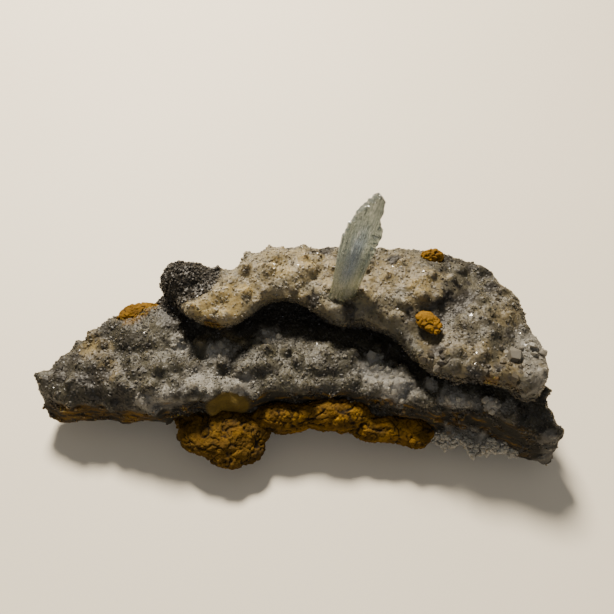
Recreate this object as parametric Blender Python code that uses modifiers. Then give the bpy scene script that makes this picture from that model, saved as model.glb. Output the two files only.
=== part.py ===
"""A cabinet specimen: one blue barite crystal on a ledged plate of rock crusted with quartz druse.

The plate is 93 mm long. Its lower ledge carries an upper ledge that overhangs a dark recess, both are
crusted with small quartz crystals, and a crust of ochre limonite hangs under the front edge. The barite
crystal, a bundle of parallel blades 21 mm long, stands on the upper ledge. Lengths in the tables are in
millimetres: x runs to the right, y to the back and z up, seen from the front.
"""

import math
import random

import bmesh
import bpy
from mathutils import Matrix, Vector, noise
from mathutils.bvhtree import BVHTree

MM = 0.001
SEAT_GAP = 0.3  # between a grain and the socket that it sits in

# The lower ledge: its outline seen from above, anticlockwise from the left end of the front edge.
LOWER_LEDGE = [
    (-46.0, -9.6), (-41.5, -12.0), (-35.5, -11.6), (-30.0, -12.4), (-24.0, -12.8), (-18.5, -13.0),
    (-12.0, -12.4), (-6.0, -11.8), (0.0, -11.4), (6.0, -11.4), (11.0, -12.2), (16.0, -13.4),
    (21.0, -14.2), (26.0, -14.2), (31.0, -15.0), (36.0, -17.4), (40.0, -19.8), (43.4, -20.4),
    (45.4, -18.6), (44.2, -15.0), (43.4, -11.0), (42.8, -7.0), (41.6, -2.0), (39.8, 3.5),
    (37.0, 8.5), (31.0, 13.5), (22.0, 16.2), (11.0, 17.0), (0.0, 16.8), (-11.0, 15.0),
    (-20.0, 12.8), (-28.0, 10.6), (-34.0, 8.0), (-35.2, 5.6), (-39.0, 2.4), (-42.4, -1.2),
    (-44.6, -4.2), (-46.0, -7.0),
]
LOWER_LEDGE_Z = (5.2, 12.2)

# The upper ledge stops short of the left end, and its front edge runs back in a bay, then forward.
UPPER_LEDGE = [
    (-21.0, 3.6), (-18.0, 1.8), (-14.6, 0.4), (-11.6, 0.6), (-9.2, 2.6), (-6.8, 4.8),
    (-3.6, 6.0), (0.4, 5.6), (4.6, 3.2), (9.0, 2.2), (13.0, 1.2), (16.2, -1.4),
    (19.2, -5.0), (22.8, -8.2), (27.0, -10.0), (31.6, -10.4), (35.4, -11.4), (38.6, -13.2),
    (41.2, -11.6), (42.2, -7.6), (42.2, -4.0), (40.4, -1.0), (38.4, 1.6), (37.6, 6.4),
    (36.0, 11.4), (33.2, 14.8), (28.6, 16.0), (24.4, 17.8), (19.0, 18.4), (12.6, 18.2),
    (6.6, 19.0), (2.4, 17.8), (-1.8, 18.0), (-5.4, 16.4), (-8.8, 13.4), (-14.0, 11.4),
    (-18.6, 9.6), (-21.4, 6.4),
]
UPPER_LEDGE_Z = (15.2, 18.6)

# The neck of rock behind the recess, which joins the ledges, and the belly that the plate rests on.
NECK = [
    (-19.0, 6.0), (-12.0, 5.2), (-6.0, 8.4), (2.0, 8.8), (10.0, 7.0), (17.0, 3.4),
    (24.0, -2.2), (31.0, -4.4), (37.0, -4.6), (38.2, 1.0), (35.0, 9.0), (28.0, 12.6),
    (16.0, 14.6), (2.0, 14.4), (-10.0, 11.4), (-18.0, 9.0),
]
NECK_Z = (10.0, 17.0)
BELLY = [
    (-36.0, -3.0), (-28.0, -6.4), (-17.0, -7.4), (-6.0, -6.4), (6.0, -6.0), (16.0, -7.2),
    (26.0, -8.6), (33.0, -8.8), (36.5, -3.0), (34.0, 4.0), (28.0, 9.4), (17.0, 13.0),
    (4.0, 13.8), (-9.0, 12.2), (-21.0, 9.4), (-31.0, 5.4),
]
BELLY_Z = (0.9, 7.0)

# Lumps on the rock: centre and half sizes along x, y and z.
LUMPS = [
    ((-20.0, 10.6, 15.6), (5.2, 4.4, 4.8)),  # the dark knob at the back left
    ((-13.0, 5.8, 17.0), (6.6, 5.4, 3.0)),  # the cream bulge beside it
    ((-2.0, 11.8, 17.8), (9.0, 6.0, 3.0)),
    ((8.4, 7.2, 17.8), (7.0, 5.4, 2.9)),  # the crust that the barite stands in
    ((11.0, 13.4, 18.0), (8.0, 4.6, 2.8)),
    ((22.0, 10.0, 17.6), (10.0, 7.6, 3.2)),
    ((33.0, 1.4, 16.8), (7.0, 9.0, 2.9)),
    ((29.0, -4.0, 17.2), (8.0, 5.0, 2.2)),
    ((38.2, -8.0, 15.8), (4.0, 5.2, 2.8)),
    ((-27.0, 3.0, 11.0), (8.0, 6.0, 3.6)),
    ((-38.0, -4.0, 9.8), (6.5, 6.5, 3.0)),
    ((-24.5, -6.4, 10.8), (7.0, 5.6, 2.8)),
    ((-9.0, -5.0, 11.0), (7.6, 5.2, 2.8)),
    ((5.5, -4.4, 11.2), (8.4, 5.4, 2.6)),
    ((16.0, -9.4, 11.2), (4.6, 3.6, 3.0)),
    ((39.6, -14.4, 8.6), (4.4, 4.6, 3.0)),
    ((26.2, -14.8, 4.9), (3.0, 1.9, 1.9)),  # the fringe of white quartz under the front right
    ((33.4, -16.0, 5.1), (3.8, 1.9, 1.9)),
    ((-35.6, -9.8, 5.5), (10.5, 2.5, 1.6)),  # the thin seam under the left end
    ((-14.0, 3.0, 2.6), (9.0, 5.0, 3.6)),  # the three feet under the belly
    ((18.0, 7.0, 2.6), (9.0, 5.4, 3.6)),
    ((25.5, -4.6, 2.6), (8.0, 4.0, 3.6)),
]

# The limonite under the front edge: a band to the right of the middle, and a lump to its left.
LIMONITE_BAND = [
    (-22.0, -12.4), (-16.0, -13.6), (-9.0, -13.4), (-3.0, -12.8), (4.0, -12.3), (9.0, -12.9),
    (14.0, -14.8), (19.0, -16.4), (22.6, -17.2), (24.0, -14.6), (21.0, -11.2), (14.0, -9.4),
    (6.0, -8.4), (-4.0, -8.6), (-14.0, -9.6), (-20.0, -9.8),
]
LIMONITE_BAND_Z = (3.9, 6.6)
LIMONITE_LUMPS = [
    ((-13.0, -14.0, 5.3), (8.0, 4.6, 2.6)),
    ((-11.0, -16.6, 4.4), (5.4, 4.0, 2.3)),
    ((-2.0, -11.6, 6.4), (6.0, 2.6, 2.4)),
    ((6.0, -11.2, 6.8), (7.6, 2.8, 3.0)),
    ((16.0, -13.4, 5.6), (6.8, 2.8, 2.2)),
]

# Loose-looking grains of limonite in the druse: centre, half sizes and turn about z in degrees.
LIMONITE_GRAINS = {
    "limonite_grain_front": ((22.6, -0.9, 20.0), (1.9, 2.7, 1.4), 28),
    "limonite_grain_back": ((24.6, 14.4, 19.8), (2.0, 1.3, 1.2), -12),
    "limonite_grain_left": ((-29.4, 7.3, 11.2), (4.4, 2.2, 2.0), 12),
}

# The barite: where its axis leaves the crust, which way it leans, and how deep its root goes.
BARITE_FOOT = Vector((7.9, 5.5, 19.8))
BARITE_LEAN = (18.0, 21.0)  # degrees to the right, and to the back
BARITE_TURN = 8.0  # degrees about its own length
ROOT_DEPTH = 1.7
# Each blade: its place across the crystal at the root and at the tip, its place in depth, its half
# width, half thickness and length above the crust. They fan out a little, and end in a ragged edge
# that climbs to the right.
BARITE_BLADES = [
    (-1.90, -3.75, 0.10, 0.70, 0.62, 11.4),
    (-1.45, -3.25, -0.30, 0.74, 0.78, 14.6),
    (-1.00, -2.50, 0.25, 0.74, 0.86, 16.8),
    (-0.55, -1.55, -0.20, 0.74, 0.98, 18.5),
    (-0.05, -0.45, 0.20, 0.72, 1.04, 19.9),
    (0.40, 0.62, 0.45, 0.60, 0.84, 19.3),
    (0.80, 1.55, -0.35, 0.72, 0.98, 15.9),
    (1.30, 2.35, 0.10, 0.70, 0.86, 14.4),
    (1.70, 2.75, -0.30, 0.60, 0.66, 11.0),
]

# The quartz druse: how many crystals stand out of the rock, and their heights and half widths.
CRYSTAL_COUNT = 150
PRISM_SHARE = 0.3  # the others show only their points
CRYSTAL_HEIGHT = (1.1, 2.1)
CRYSTAL_HALF_WIDTH = (0.9, 1.5)
CRYSTAL_SPACING = 2.4
CRYSTAL_SEED = 27

ROCK_VOXEL = 0.8
ROCK_TRIANGLES = 2200
LIMONITE_TRIANGLES = 560
GRAIN_TRIANGLES = 90

COLOURS = {
    "rock": ((0.115, 0.100, 0.075), 0.70),
    "limonite": ((0.180, 0.095, 0.018), 0.90),
    "barite": ((0.330, 0.375, 0.390), 0.25),
}


# Scene and mesh helpers


def clear_scene():
    for obj in list(bpy.data.objects):
        bpy.data.objects.remove(obj, do_unlink=True)


def new_collection(name):
    collection = bpy.data.collections.new(name)
    bpy.context.scene.collection.children.link(collection)
    return collection


def new_material(name):
    colour, roughness = COLOURS[name]
    material = bpy.data.materials.new(name)
    material.use_nodes = True
    shader = material.node_tree.nodes["Principled BSDF"]
    shader.inputs["Base Color"].default_value = (*colour, 1.0)
    shader.inputs["Roughness"].default_value = roughness
    shader.inputs["Metallic"].default_value = 0.0
    return material


def object_from_bmesh(bm, name):
    mesh = bpy.data.meshes.new(name)
    bm.to_mesh(mesh)
    bm.free()
    obj = bpy.data.objects.new(name, mesh)
    workshop.objects.link(obj)
    return obj


def evaluated_mesh(obj):
    """The object's mesh with its modifiers applied, as new data."""
    bpy.context.view_layer.update()
    graph = bpy.context.evaluated_depsgraph_get()
    return bpy.data.meshes.new_from_object(obj.evaluated_get(graph))


def apply_modifiers(obj):
    mesh = evaluated_mesh(obj)
    obj.modifiers.clear()
    obj.data = mesh
    return obj


def joined(objects, name):
    """One object that holds all the meshes, which may overlap."""
    bm = bmesh.new()
    for obj in objects:
        mesh = evaluated_mesh(obj)
        mesh.transform(obj.matrix_world)
        bm.from_mesh(mesh)
        bpy.data.objects.remove(obj)
    bmesh.ops.triangulate(bm, faces=bm.faces)
    return object_from_bmesh(bm, name)


def boolean(target, cutter, operation, self_overlap=False):
    modifier = target.modifiers.new(operation.lower(), "BOOLEAN")
    modifier.operation = operation
    modifier.solver = "EXACT"
    modifier.use_self = self_overlap
    modifier.object = cutter
    apply_modifiers(target)
    bpy.data.objects.remove(cutter)
    return target


def keep_largest_island(obj):
    """Drops splinters that a cut has parted from the body."""
    bm = bmesh.new()
    bm.from_mesh(obj.data)
    bmesh.ops.remove_doubles(bm, verts=bm.verts, dist=0.002 * MM)
    left, islands = set(bm.faces), []
    while left:
        start = left.pop()
        island, edge = {start}, [start]
        while edge:
            near = {f for e in edge.pop().edges for f in e.link_faces} & left
            left -= near
            island |= near
            edge.extend(near)
        islands.append(island)
    islands.sort(key=len)
    spare = [face for island in islands[:-1] for face in island]
    bmesh.ops.delete(bm, geom=spare, context="FACES")
    bmesh.ops.triangulate(bm, faces=bm.faces)
    bm.to_mesh(obj.data)
    bm.free()
    return obj


# Rock forms


def slab(outline, heights, name):
    """A flat-topped layer with the given outline, from a filled and extruded 2D curve."""
    low, high = heights
    curve = bpy.data.curves.new(name, "CURVE")
    curve.dimensions = "2D"
    curve.fill_mode = "BOTH"
    curve.extrude = (high - low) / 2 * MM
    spline = curve.splines.new("POLY")
    spline.points.add(len(outline) - 1)
    for point, (x, y) in zip(spline.points, outline):
        point.co = (x * MM, y * MM, 0.0, 1.0)
    spline.use_cyclic_u = True
    obj = bpy.data.objects.new(name, curve)
    obj.location.z = (low + high) / 2 * MM
    workshop.objects.link(obj)
    return obj


def lump(centre, half_sizes, name, turn=0.0, detail=3):
    """A rounded mass: an icosphere stretched to its half sizes and turned about z."""
    bm = bmesh.new()
    bmesh.ops.create_icosphere(bm, subdivisions=detail, radius=1.0)
    place = (
        Matrix.Translation(Vector(centre) * MM)
        @ Matrix.Rotation(math.radians(turn), 4, "Z")
        @ Matrix.Diagonal((*(Vector(half_sizes) * MM), 1.0))
    )
    bm.transform(place)
    return object_from_bmesh(bm, name)


def remesh(obj, voxel):
    modifier = obj.modifiers.new("fuse", "REMESH")
    modifier.mode = "VOXEL"
    modifier.voxel_size = voxel * MM
    return apply_modifiers(obj)


def decimate(obj, triangles):
    obj.data.calc_loop_triangles()
    modifier = obj.modifiers.new("thin_out", "DECIMATE")
    modifier.ratio = min(1.0, triangles / len(obj.data.loop_triangles))
    return apply_modifiers(obj)


def roughen(obj, coarse, fine, shift=0.0):
    """Pushes each point along its normal by noise: lumps 9 mm across, and chips 3 mm across."""
    amounts = []
    for vertex in obj.data.vertices:
        place = vertex.co / MM + Vector((shift, shift, shift))
        lumps = noise.fractal(place / 9.0, 1.0, 2.0, 2)
        chips = noise.noise(place / 2.9)
        amounts.append(coarse * lumps + fine * chips)
    moved = [v.co + v.normal * (a * MM) for v, a in zip(obj.data.vertices, amounts)]
    for vertex, place in zip(obj.data.vertices, moved):
        vertex.co = place
    obj.data.update()
    return obj


def smooth_step(low, high, value):
    t = max(0.0, min(1.0, (value - low) / (high - low)))
    return t * t * (3 - 2 * t)


def sag(obj):
    """The plate thins to the left end, bends down at the right, and its front edge slopes."""
    for vertex in obj.data.vertices:
        x, y, z = vertex.co / MM
        left = 1.6 * smooth_step(-22.0, -46.0, x) * smooth_step(2.0, 9.0, z)
        right = 3.4 * smooth_step(33.0, 47.0, x) * smooth_step(-2.0, -13.0, y)
        middle = 0.6 * math.sin((x + 4.0) / 11.0) * smooth_step(6.0, 12.0, z)
        batter = 2.6 * smooth_step(5.0, 12.5, z) * smooth_step(-3.0, -9.0, y)
        vertex.co.z -= (left + right * smooth_step(19.0, 12.0, z) + middle) * MM
        vertex.co.y += batter * smooth_step(14.5, 12.5, z) * MM
    obj.data.update()
    return obj


def make_rock():
    layers = [
        slab(LOWER_LEDGE, LOWER_LEDGE_Z, "lower_ledge"),
        slab(UPPER_LEDGE, UPPER_LEDGE_Z, "upper_ledge"),
        slab(NECK, NECK_Z, "neck"),
        slab(BELLY, BELLY_Z, "belly"),
    ]
    lumps = [lump(centre, sizes, "lump") for centre, sizes in LUMPS]
    rock = remesh(joined(layers + lumps, "matrix"), ROCK_VOXEL)
    smooth = rock.modifiers.new("weather", "SMOOTH")
    smooth.iterations = 2
    apply_modifiers(rock)
    return decimate(roughen(sag(rock), coarse=0.9, fine=0.55), ROCK_TRIANGLES)


def make_limonite_crust():
    layers = [slab(LIMONITE_BAND, LIMONITE_BAND_Z, "band")]
    lumps = [lump(centre, sizes, "lump") for centre, sizes in LIMONITE_LUMPS]
    crust = remesh(joined(layers + lumps, "limonite_crust"), 0.5)
    return decimate(roughen(crust, coarse=0.7, fine=0.4, shift=40.0), LIMONITE_TRIANGLES)


def make_limonite_grain(name, centre, half_sizes, turn):
    grain = lump(centre, half_sizes, name, turn)
    return decimate(roughen(grain, coarse=0.5, fine=0.45, shift=len(name)), GRAIN_TRIANGLES)


def inflated_hull(obj, by):
    """The convex hull of a grain, grown by the seat gap: the socket that is cut for it."""
    bm = bmesh.new()
    bm.from_mesh(obj.data)
    hull = bmesh.ops.convex_hull(bm, input=bm.verts)
    keep = {g for g in hull["geom"] if isinstance(g, bmesh.types.BMFace)}
    bmesh.ops.delete(bm, geom=[f for f in bm.faces if f not in keep], context="FACES")
    bmesh.ops.delete(bm, geom=[v for v in bm.verts if not v.link_faces], context="VERTS")
    bmesh.ops.recalc_face_normals(bm, faces=bm.faces)
    for vertex in bm.verts:
        vertex.normal_update()
    for vertex in bm.verts:
        vertex.co += vertex.normal * (by * MM * vertex.calc_shell_factor())
    return object_from_bmesh(bm, obj.name + "_socket")


def inflated(obj, by):
    """A copy of a lumpy piece with its skin pushed out evenly."""
    bm = bmesh.new()
    bm.from_mesh(obj.data)
    for vertex in bm.verts:
        vertex.co += vertex.normal * (by * MM * vertex.calc_shell_factor())
    return object_from_bmesh(bm, obj.name + "_socket")


# Quartz druse


def in_druse(point, normal):
    """True where quartz grows: on the ledges' upper faces, and in a strip under the front right."""
    x, y, z = point / MM
    if normal.z > 0.25 and z > 8.0:
        knob = (x + 20.0) ** 2 + (y - 10.5) ** 2 < 28.0
        recess = z < 15.0 and y > 1.0 and -20.0 < x < 38.0
        return not (knob or recess)
    return normal.z < -0.2 and 24.0 < x < 37.0 and -18.0 < y < -12.0 and z < 8.0


def clear_of_grains(point):
    """True where a crystal would not reach a limonite grain, the crust or the barite."""
    x, y, _ = point / MM
    for centre, half_sizes, _ in LIMONITE_GRAINS.values():
        reach = 1.2 * max(half_sizes[:2]) + 2.4
        if math.hypot(x - centre[0], y - centre[1]) < reach:
            return False
    if math.hypot(x - BARITE_FOOT.x, y - BARITE_FOOT.y) < 6.4:
        return False
    return not (point.z < 8.5 * MM and x < 25.0)


def quartz_crystal(foot, axis, height, half_width, turn, prism):
    """A six-sided point, with or without some of its prism showing, sunk in the rock."""
    sunk, point = 0.9, 1.15 * half_width
    shaft = sunk + (max(0.3, height - point) if prism else 0.15)
    bm = bmesh.new()
    bmesh.ops.create_cone(
        bm, cap_ends=True, segments=6, depth=shaft * MM,
        radius1=half_width * (0.94 if prism else 1.25) * MM, radius2=half_width * MM,
    )
    top = max(bm.faces, key=lambda face: face.calc_center_median().z)
    tip = bmesh.ops.poke(bm, faces=[top])["verts"][0]
    tip.co.z += point * MM
    turn_to_axis = axis.to_track_quat("Z", "Y").to_matrix().to_4x4()
    lift = Matrix.Translation((0, 0, (shaft / 2 - sunk) * MM))
    bm.transform(Matrix.Translation(foot) @ turn_to_axis @ Matrix.Rotation(turn, 4, "Z") @ lift)
    return bm


def grow_druse(rock):
    """Stands crystals on the druse-bearing faces, apart from each other, and fuses them to the rock."""
    draw = random.Random(CRYSTAL_SEED)
    tree = BVHTree.FromObject(rock, bpy.context.evaluated_depsgraph_get())
    faces = [f for f in rock.data.polygons if in_druse(f.center, f.normal)]
    areas = [f.area for f in faces]
    feet, cluster = [], bmesh.new()
    for face in draw.choices(faces, weights=areas, k=40 * CRYSTAL_COUNT):
        scatter = Vector([draw.uniform(-1.2, 1.2) for _ in range(3)]) * MM
        foot, normal, _, _ = tree.find_nearest(face.center + scatter)
        near = any((foot - other).length < CRYSTAL_SPACING * MM for other in feet)
        if near or not in_druse(foot, normal) or not clear_of_grains(foot):
            continue
        tilt = Vector([draw.uniform(-0.5, 0.5) for _ in range(3)])
        crystal = quartz_crystal(
            foot, (normal + tilt).normalized(), draw.uniform(*CRYSTAL_HEIGHT),
            draw.uniform(*CRYSTAL_HALF_WIDTH), draw.uniform(0.0, math.pi),
            draw.random() < PRISM_SHARE,
        )
        mesh = bpy.data.meshes.new("crystal")
        crystal.to_mesh(mesh)
        crystal.free()
        cluster.from_mesh(mesh)
        feet.append(foot.copy())
        if len(feet) == CRYSTAL_COUNT:
            break
    print(f"{len(feet)} crystals")
    druse = object_from_bmesh(cluster, "druse")
    return boolean(rock, druse, "UNION", self_overlap=True)


# Barite


def barite_frame():
    """Turns the crystal's own axes, with its length along z, to the way that it stands."""
    right, back = (math.radians(angle) for angle in BARITE_LEAN)
    lean = Matrix.Rotation(right, 4, "Y") @ Matrix.Rotation(-back, 4, "X")
    return (
        Matrix.Translation(BARITE_FOOT * MM)
        @ lean
        @ Matrix.Rotation(math.radians(BARITE_TURN), 4, "Z")
    )


def barite_blade(root_across, tip_across, depth, half_width, half_thickness, length):
    """A six-sided blade that widens from its root to a shoulder, and ends in a lopsided point."""
    shoulder = 0.84
    bm = bmesh.new()
    shaft = (length * shoulder + ROOT_DEPTH) * MM
    bmesh.ops.create_cone(bm, cap_ends=True, segments=6, depth=shaft, radius1=1.0, radius2=1.0)
    for vertex in bm.verts:
        high = vertex.co.z > 0
        across = root_across + (tip_across - root_across) * (shoulder if high else 0.0)
        vertex.co.x = (across + vertex.co.x * half_width * (1.15 if high else 0.85)) * MM
        vertex.co.y = (depth + vertex.co.y * half_thickness * (1.05 if high else 0.95)) * MM
        vertex.co.z += shaft / 2 - ROOT_DEPTH * MM
    top = max(bm.faces, key=lambda face: face.calc_center_median().z)
    tip = bmesh.ops.poke(bm, faces=[top])["verts"][0]
    tip.co = Vector((tip_across + 0.3 * half_width, depth * 0.5, length)) * MM
    return object_from_bmesh(bm, "blade")


def make_barite():
    """Parallel blades of unequal length, grown together and joined in one solid."""
    first, *others = [barite_blade(*row) for row in BARITE_BLADES]
    barite = boolean(first, joined(others, "blades"), "UNION", self_overlap=True)
    barite.name = "barite_crystal"
    barite.data.transform(barite_frame())
    return keep_largest_island(barite)


def barite_socket():
    """The seat in the crust: the hull of the crystal's root, grown by the gap."""
    bm = bmesh.new()
    bmesh.ops.create_cone(
        bm, cap_ends=True, segments=12, depth=2 * (ROOT_DEPTH + SEAT_GAP) * MM, radius1=MM, radius2=MM
    )
    half_width = 2.40 + SEAT_GAP
    half_depth = 1.25 + SEAT_GAP
    bm.transform(Matrix.Diagonal((half_width, half_depth, 1.0, 1.0)))
    bm.transform(barite_frame())
    return object_from_bmesh(bm, "barite_socket")


# Assembly


def cut_base(obj):
    """Breaks the rock off flat at z = 0, so that it rests on the feet of its belly."""
    bm = bmesh.new()
    bmesh.ops.create_cube(bm, size=1.0)
    bm.transform(Matrix.Translation((0, 0, -0.01)) @ Matrix.Diagonal((0.2, 0.1, 0.02, 1.0)))
    return boolean(obj, object_from_bmesh(bm, "ground"), "DIFFERENCE")


def centre_on_origin(objects):
    """Puts the origin under the middle of the whole specimen's box."""
    corners = [v.co for obj in objects for v in obj.data.vertices]
    middle_x = (min(c.x for c in corners) + max(c.x for c in corners)) / 2
    middle_y = (min(c.y for c in corners) + max(c.y for c in corners)) / 2
    floor = min(c.z for c in corners)
    for obj in objects:
        obj.data.transform(Matrix.Translation((-middle_x, -middle_y, -floor)))
    print(f"shift {-middle_x / MM:.2f} {-middle_y / MM:.2f} {-floor / MM:.2f} mm")


def finish_piece(obj, material_name, materials):
    obj.data.materials.clear()
    obj.data.materials.append(materials[material_name])
    for polygon in obj.data.polygons:
        polygon.use_smooth = False
    workshop.objects.unlink(obj)
    specimen.objects.link(obj)


def main():
    materials = {name: new_material(name) for name in COLOURS}
    crust = make_limonite_crust()
    grains = [make_limonite_grain(name, *row) for name, row in LIMONITE_GRAINS.items()]
    barite = make_barite()
    matrix = grow_druse(make_rock())
    cut_base(matrix)
    boolean(matrix, inflated(crust, SEAT_GAP), "DIFFERENCE", self_overlap=True)
    for grain in grains:
        boolean(matrix, inflated_hull(grain, SEAT_GAP), "DIFFERENCE")
    boolean(matrix, barite_socket(), "DIFFERENCE")
    keep_largest_island(matrix)
    matrix.name = "matrix"
    pieces = [matrix, crust, *grains, barite]
    centre_on_origin(pieces)
    finish_piece(matrix, "rock", materials)
    finish_piece(barite, "barite", materials)
    for obj in [crust, *grains]:
        finish_piece(obj, "limonite", materials)


clear_scene()
specimen = new_collection("blue_barite_specimen")
workshop = new_collection("workshop")
workshop.hide_render = True
main()
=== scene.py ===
import math

import bmesh
import bpy
import numpy as np
from mathutils import Matrix, Vector, noise


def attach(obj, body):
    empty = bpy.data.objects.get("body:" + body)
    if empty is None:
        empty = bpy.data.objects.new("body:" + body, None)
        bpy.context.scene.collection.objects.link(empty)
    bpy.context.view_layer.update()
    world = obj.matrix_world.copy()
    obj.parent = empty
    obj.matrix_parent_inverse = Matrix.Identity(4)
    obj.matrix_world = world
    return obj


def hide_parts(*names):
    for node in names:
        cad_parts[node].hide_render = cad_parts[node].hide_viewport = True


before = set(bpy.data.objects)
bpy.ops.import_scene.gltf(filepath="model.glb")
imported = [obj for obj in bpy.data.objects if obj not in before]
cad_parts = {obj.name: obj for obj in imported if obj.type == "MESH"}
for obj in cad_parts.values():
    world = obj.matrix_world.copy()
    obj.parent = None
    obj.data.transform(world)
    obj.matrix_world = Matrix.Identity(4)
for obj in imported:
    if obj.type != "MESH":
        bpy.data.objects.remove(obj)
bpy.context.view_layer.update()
MM = 0.001

# The view and the light.
# The camera looks down at 53 degrees from 117 mm above the table. A broad soft light stands behind
# the specimen to the left, so its front edge falls in shade, with a weak fill from the front.
EYE_MM = (2.37, -69.79, 117)
LOOKS_DOWN = 53
MIDDLE_MM = (0, 0, 0)


def linear(hex_colour):
    """An sRGB hex colour as linear RGBA."""
    parts = [int(hex_colour[i : i + 2], 16) / 255 for i in (1, 3, 5)]
    return (*[c / 12.92 if c <= 0.04045 else ((c + 0.055) / 1.055) ** 2.4 for c in parts], 1.0)


def link_object(name, data):
    obj = bpy.data.objects.new(name, data)
    bpy.context.scene.collection.objects.link(obj)
    return obj


def soft_light(name, place_mm, size_mm, watts, colour):
    """A round lamp that faces the middle of the specimen."""
    lamp = bpy.data.lights.new(name, "AREA")
    lamp.shape = "DISK"
    lamp.size = size_mm * MM
    lamp.energy = watts
    lamp.color = linear(colour)[:3]
    obj = link_object(name, lamp)
    obj.location = Vector(place_mm) * MM
    towards = Vector(MIDDLE_MM) - Vector(place_mm)
    obj.rotation_euler = towards.to_track_quat("-Z", "Y").to_euler()


camera = link_object("camera", bpy.data.cameras.new("camera"))
camera.data.lens = 41.04
camera.data.sensor_width = 36
camera.data.clip_start = 5 * MM
camera.location = [along * MM for along in EYE_MM]
camera.rotation_euler = (math.radians(90 - LOOKS_DOWN), 0, 0)
bpy.context.scene.camera = camera

soft_light("window_light", (-90, 290, 360), size_mm=95, watts=6.8, colour="#FFF3E0")
soft_light("front_fill", (60, -330, 260), size_mm=300, watts=0.25, colour="#F3F5FF")
world = bpy.data.worlds.new("pale room")
world.use_nodes = True
world.node_tree.nodes["Background"].inputs["Color"].default_value = linear("#F6F1E8")
world.node_tree.nodes["Background"].inputs["Strength"].default_value = 0.24
bpy.context.scene.world = world

# The table: a pressed sheet of white laminate, a plain square that reaches past the view. It lies
# 0.2 mm under the specimen's flat foot, so the two surfaces never share a plane.
TABLE_HALF = 1200 * MM
CLEAR_OF_FOOT = 0.2 * MM


def node(tree, kind, settings=None, **links):
    """Adds a node with its settings and links.

    A setting is one of its own properties, the value of an input by its name or number, or the
    stops of a colour ramp. A link feeds the input of that name, or in6 feeds input 6.
    """
    made = tree.nodes.new(kind)
    for key, value in (settings or {}).items():
        if key == "stops":
            elements = made.color_ramp.elements
            while len(elements) < len(value):
                elements.new(1.0)
            for element, (position, colour) in zip(elements, value):
                element.position = position
                element.color = linear(colour)
        elif isinstance(key, int) or key in made.inputs:
            made.inputs[key].default_value = value
        else:
            setattr(made, key, value)
    for key, source in links.items():
        numbered = key.startswith("in") and key[2:].isdigit()
        tree.links.new(source, made.inputs[int(key[2:]) if numbered else key.replace("_", " ")])
    return made


def new_material(name):
    material = bpy.data.materials.new(name)
    material.use_nodes = True
    shader = material.node_tree.nodes["Principled BSDF"]
    return material, material.node_tree, shader


# White laminate, pressed with a matt face: it reflects in one broad dull sheen. Its tone drifts a
# little over about 70 mm.
laminate, tree, shader = new_material("white laminate")
shader.inputs["Roughness"].default_value = 0.62
place = node(tree, "ShaderNodeTexCoord").outputs["Object"]
cloud = node(tree, "ShaderNodeTexNoise", {"Scale": 0.014 / MM, "Detail": 2.0}, Vector=place)
tone = node(
    tree, "ShaderNodeMix", {"data_type": "RGBA", 6: linear("#DAD1BD"), 7: linear("#E1D8C6")},
    in0=cloud.outputs["Fac"],
)
tree.links.new(tone.outputs[2], shader.inputs["Base Color"])

floor_mesh = bpy.data.meshes.new("table_top")
corners = [(x * TABLE_HALF, y * TABLE_HALF, 0) for x, y in ((-1, -1), (1, -1), (1, 1), (-1, 1))]
floor_mesh.from_pydata(corners, [], [(0, 1, 2, 3)])
floor = link_object("table_top", floor_mesh)
floor.location.z = -CLEAR_OF_FOOT
floor.data.materials.append(laminate)

# The plate of rock: vein quartz and altered host rock, grey-brown, stained by manganese and iron. It
# formed as layers in a crack and broke out of it, so it keeps the CAD plate's shape, and adds the
# rounded knots that the quartz grew in, and the chips and layers of its broken front face.
LOWER_LEDGE_TOP = 14.6
# The dark knob at the back left, seen from above, and the height of its foot.
KNOB_X, KNOB_Y, KNOB_FOOT = -19.5, 11.0, 11.5
# The smooth limonite boss on the front face: its middle, half its length and its radius.
BOSS_X, BOSS_Y, BOSS_Z = -11.4, -10.2, 9.6
BOSS_HALF_LENGTH, BOSS_RADIUS = 4.2, 2.9
# The layers of the front face lie level up to this x, and slope down to the right of it.
SLOPE_STARTS = 14

# Where each colour of the crust lies, as (x, y, z, radius) in mm.
BLACK_SPOTS = [
    (-19.4, 11, 17, 6.6), (-21.4, 5.6, 13.6, 3.6), (-19.3, 3.2, 12.8, 2.6),
    (28.4, 4.7, 18.9, 2.9), (25.7, 2.9, 18.1, 2.3), (30.7, 6.3, 18.4, 2.4), (20.6, 2.5, 18.3, 1.5),
    (18.5, 14.6, 19, 1.5), (26.9, 10.8, 19.7, 1.1), (27.7, 15.9, 19.1, 2), (31.9, 14.5, 18.7, 2.5),
    (34.7, 12.1, 18.5, 1.6), (5.9, 17.5, 18.1, 1.7), (3.3, 16.5, 18.9, 1.3), (-1.5, 17.9, 18.5, 1.2),
    (35.5, 8, 18.5, 1.7), (36.9, 6.9, 18.7, 1.4), (9.7, 3.4, 18.3, 1.4), (3.5, 5.9, 18.3, 1.3),
    (-18.7, -9.8, 14, 1.5), (-34.7, -6.8, 11.2, 3.4), (-41, -4.6, 11.3, 2),
    (-30.8, -9.2, 11.3, 2.2), (-39.1, -2, 11.3, 1.5), (-43.5, -6, 11.4, 1.2),
    (38.8, -12.6, 11.6, 1.6), (41.5, -15.9, 9.6, 1.2), (34, -8.5, 17.1, 1.4), (24.4, -4.7, 17.9, 1.6),
    (30.6, -8.9, 17.3, 2.2), (37.2, -1.9, 18.5, 1.4),
]
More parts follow.
